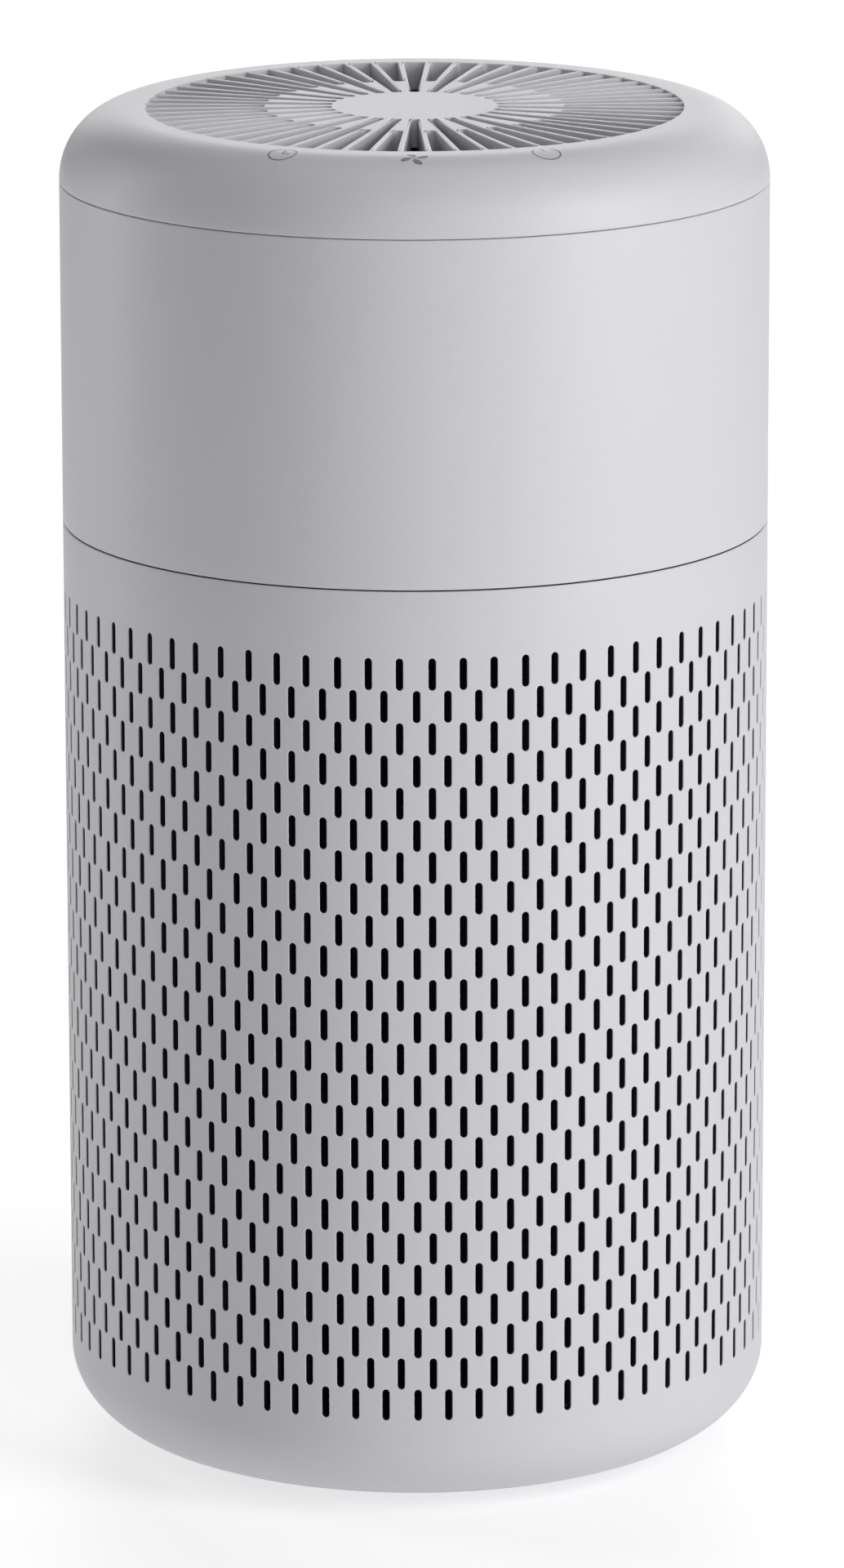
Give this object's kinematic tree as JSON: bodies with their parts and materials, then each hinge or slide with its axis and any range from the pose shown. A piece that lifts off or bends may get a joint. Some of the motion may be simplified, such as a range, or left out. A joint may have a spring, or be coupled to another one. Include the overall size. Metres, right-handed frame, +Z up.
{
  "type": "air purifier",
  "caption": "Round tower air purifier: slotted sleeve, plain housing, flush radial top grille, touch keys, fan inside and twist-off base door over a cylindrical filter.",
  "frame": {"origin": "centre of the footprint, on the floor under the rubber pads", "axes": "+Z up along the body's axis, -Y towards the touch keys at the front, +X to the right seen from the front"},
  "size_m": [0.2, 0.2, 0.386],
  "materials": {
    "shell_plastic": "fine matte light grey",
    "dark_plastic": "matte black moulding",
    "impeller_plastic": "matte dark grey moulding",
    "foam": "closed-cell foam",
    "conductive_foam": "conductive foam",
    "screw_steel": "zinc plated",
    "rotor_steel": "plated steel pressing",
    "bearing_steel": "ground steel",
    "magnet": "bonded magnet ring",
    "lamination": "stacked steel laminations",
    "copper": "enamelled copper wire",
    "circuit_board": "green solder mask",
    "socket_plastic": "black moulding",
    "capacitor_can": "sleeved can",
    "cable_sleeve": "soft sleeve",
    "cap_plastic": "white moulding",
    "mesh_fabric": "fine black mesh",
    "carbon": "carbon granule fabric",
    "filter_paper": "pleated filter paper",
    "tab_fabric": "woven tape",
    "pad_rubber": "soft grey rubber"
  },
  "bodies": {
    "housing": {"lower_shell": "shell_plastic", "upper_housing": "shell_plastic", "top_cover": "shell_plastic", "fan_shroud": "dark_plastic", "outlet_seal": "foam", "inlet_ring": "dark_plastic", "inlet_guard": "dark_plastic", "deck_screws": "screw_steel", "motor_bearings": "bearing_steel", "stator_core": "lamination", "stator_windings": "copper", "driver_board": "circuit_board", "driver_screws": "screw_steel", "control_board": "circuit_board", "touch_pad_timer": "conductive_foam", "touch_pad_speed": "conductive_foam", "touch_pad_power": "conductive_foam", "control_board_screws": "screw_steel", "power_socket": "socket_plastic", "power_board": "circuit_board", "power_capacitors": "capacitor_can", "motor_cable": "cable_sleeve", "control_cable": "cable_sleeve", "filter_bottom_cap": "cap_plastic", "filter_top_cap": "cap_plastic", "filter_gasket": "foam", "prefilter_mesh": "mesh_fabric", "carbon_layer": "carbon", "filter_media": "filter_paper", "filter_pull_tab": "tab_fabric"},
    "rotor": {"impeller": "impeller_plastic", "rotor_bell": "rotor_steel", "rotor_magnets": "magnet", "motor_shaft": "screw_steel", "shaft_clip": "screw_steel"},
    "door": {"base_door": "shell_plastic", "door_pads": "pad_rubber"}
  },
  "joints": [
    {"name": "fan_spin", "type": "hinge", "parent": "housing", "child": "rotor", "pos_m": [0, 0, 0.3], "axis": [0, 0, 1], "continuous": true},
    {"name": "door_turn", "type": "hinge", "parent": "housing", "child": "door", "pos_m": [0, 0, 0.01], "axis": [0, 0, -1], "range_deg": [0, 24]}
  ]
}
